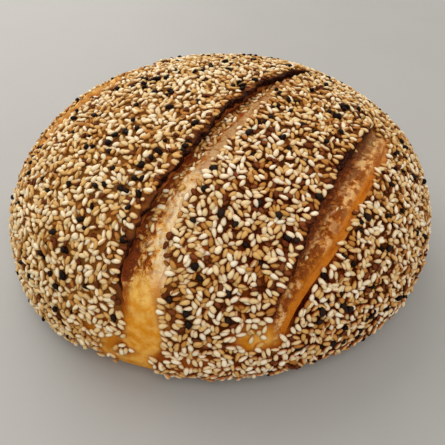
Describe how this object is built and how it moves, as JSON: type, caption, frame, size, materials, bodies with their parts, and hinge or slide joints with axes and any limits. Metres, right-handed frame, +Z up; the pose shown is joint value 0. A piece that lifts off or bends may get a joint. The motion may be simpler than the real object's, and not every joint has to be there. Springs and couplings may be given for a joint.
{
  "type": "seeded bread loaf",
  "caption": "Round domed bread loaf coated in sesame seeds, with parallel slashes that opened into lifted ears, resting on its flat baked base.",
  "frame": {"origin": "middle of the flat base, on the surface that the loaf rests on", "axes": "+Z up from the base to the crown, +X along the loaf's longest width, the slashes running from front left to back right"},
  "size_m": [0.1655, 0.1511, 0.0743],
  "materials": {
    "crust": "baked bread crust, golden to dark brown, satin",
    "ivory_seed": "hulled sesame seed, ivory, satin",
    "toasted_seed": "toasted sesame seed, tan, satin",
    "brown_seed": "unhulled sesame seed, reddish brown, satin",
    "black_seed": "black sesame seed, satin"
  },
  "bodies": {
    "root": {"loaf": "crust"}
  },
  "joints": []
}
